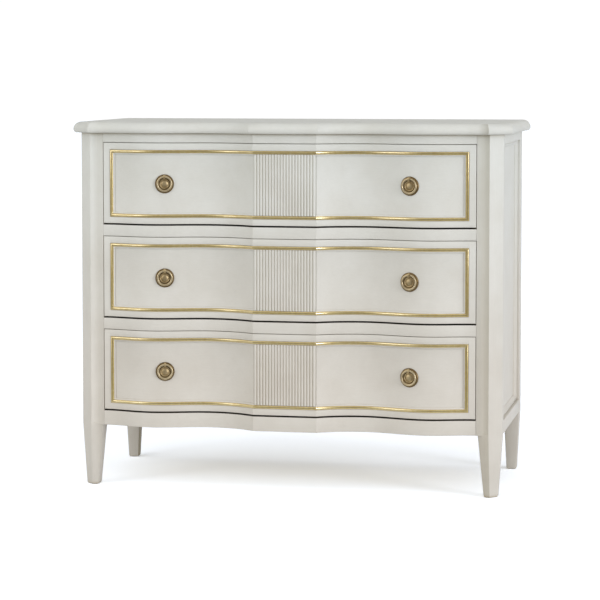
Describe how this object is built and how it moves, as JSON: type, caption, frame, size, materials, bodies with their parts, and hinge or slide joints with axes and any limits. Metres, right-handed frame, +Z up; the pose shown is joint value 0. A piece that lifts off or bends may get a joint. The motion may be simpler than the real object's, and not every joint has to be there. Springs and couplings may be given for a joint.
{
  "type": "chest of drawers",
  "caption": "Low painted chest of drawers with a serpentine front, canted corners, tapered legs, reeded centre panels, gilt mouldings and ring pulls.",
  "frame": {"origin": "on the floor, under the middle of the top's bounding box", "axes": "+X to the right as one faces the drawers, +Y from the front to the back, +Z up"},
  "size_m": [1.044, 0.496, 0.864],
  "materials": {
    "paint": "satin off-white paint on hardwood",
    "bare_wood": "plain planed poplar and plywood, thinly sealed",
    "gilt": "metal leaf over a wooden moulding",
    "antique_brass": "antiqued cast brass"
  },
  "bodies": {
    "case": {"top": "paint", "front_post_left": "paint", "front_post_right": "paint", "rear_post_left": "paint", "rear_post_right": "paint", "side_foot_rail_left": "paint", "side_foot_rail_right": "paint", "side_top_rail_left": "paint", "side_top_rail_right": "paint", "side_panel_left": "paint", "side_panel_right": "paint", "apron_rail": "paint", "lower_divider_rail": "paint", "upper_divider_rail": "paint", "top_rail": "paint", "back_foot_rail": "bare_wood", "back_top_rail": "bare_wood", "back_panel": "bare_wood", "lower_runner_left": "bare_wood", "lower_runner_right": "bare_wood", "middle_runner_left": "bare_wood", "middle_runner_right": "bare_wood", "upper_runner_left": "bare_wood", "upper_runner_right": "bare_wood", "lower_drawer_stop": "bare_wood", "middle_drawer_stop": "bare_wood", "upper_drawer_stop": "bare_wood"},
    "lower_drawer": {"lower_drawer_front": "paint", "lower_reeded_tablet": "paint", "lower_gilt_bead": "gilt", "lower_drawer_side_left": "bare_wood", "lower_drawer_side_right": "bare_wood", "lower_drawer_back": "bare_wood", "lower_drawer_bottom": "bare_wood", "lower_rosette_left": "antique_brass", "lower_rosette_right": "antique_brass"},
    "middle_drawer": {"middle_drawer_front": "paint", "middle_reeded_tablet": "paint", "middle_gilt_bead": "gilt", "middle_drawer_side_left": "bare_wood", "middle_drawer_side_right": "bare_wood", "middle_drawer_back": "bare_wood", "middle_drawer_bottom": "bare_wood", "middle_rosette_left": "antique_brass", "middle_rosette_right": "antique_brass"},
    "upper_drawer": {"upper_drawer_front": "paint", "upper_reeded_tablet": "paint", "upper_gilt_bead": "gilt", "upper_drawer_side_left": "bare_wood", "upper_drawer_side_right": "bare_wood", "upper_drawer_back": "bare_wood", "upper_drawer_bottom": "bare_wood", "upper_rosette_left": "antique_brass", "upper_rosette_right": "antique_brass"},
    "lower_ring_l": {"lower_ring_left": "antique_brass"},
    "lower_ring_r": {"lower_ring_right": "antique_brass"},
    "middle_ring_l": {"middle_ring_left": "antique_brass"},
    "middle_ring_r": {"middle_ring_right": "antique_brass"},
    "upper_ring_l": {"upper_ring_left": "antique_brass"},
    "upper_ring_r": {"upper_ring_right": "antique_brass"}
  },
  "joints": [
    {"name": "lower_drawer_slide", "type": "slide", "parent": "case", "child": "lower_drawer", "axis": [0, -1, 0], "range_m": [0, 0.28]},
    {"name": "middle_drawer_slide", "type": "slide", "parent": "case", "child": "middle_drawer", "axis": [0, -1, 0], "range_m": [0, 0.28]},
    {"name": "upper_drawer_slide", "type": "slide", "parent": "case", "child": "upper_drawer", "axis": [0, -1, 0], "range_m": [0, 0.28]},
    {"name": "lower_ring_left_swing", "type": "hinge", "parent": "lower_drawer", "child": "lower_ring_l", "pos_m": [-0.28888, -0.21694, 0.294], "axis": [-0.9779, -0.209, 0], "range_deg": [0, 100]},
    {"name": "lower_ring_right_swing", "type": "hinge", "parent": "lower_drawer", "child": "lower_ring_r", "pos_m": [0.28888, -0.21694, 0.294], "axis": [-0.9779, 0.209, 0], "range_deg": [0, 100]},
    {"name": "middle_ring_left_swing", "type": "hinge", "parent": "middle_drawer", "child": "middle_ring_l", "pos_m": [-0.28888, -0.21694, 0.515], "axis": [-0.9779, -0.209, 0], "range_deg": [0, 100]},
    {"name": "middle_ring_right_swing", "type": "hinge", "parent": "middle_drawer", "child": "middle_ring_r", "pos_m": [0.28888, -0.21694, 0.515], "axis": [-0.9779, 0.209, 0], "range_deg": [0, 100]},
    {"name": "upper_ring_left_swing", "type": "hinge", "parent": "upper_drawer", "child": "upper_ring_l", "pos_m": [-0.28888, -0.21694, 0.736], "axis": [-0.9779, -0.209, 0], "range_deg": [0, 100]},
    {"name": "upper_ring_right_swing", "type": "hinge", "parent": "upper_drawer", "child": "upper_ring_r", "pos_m": [0.28888, -0.21694, 0.736], "axis": [-0.9779, 0.209, 0], "range_deg": [0, 100]}
  ]
}
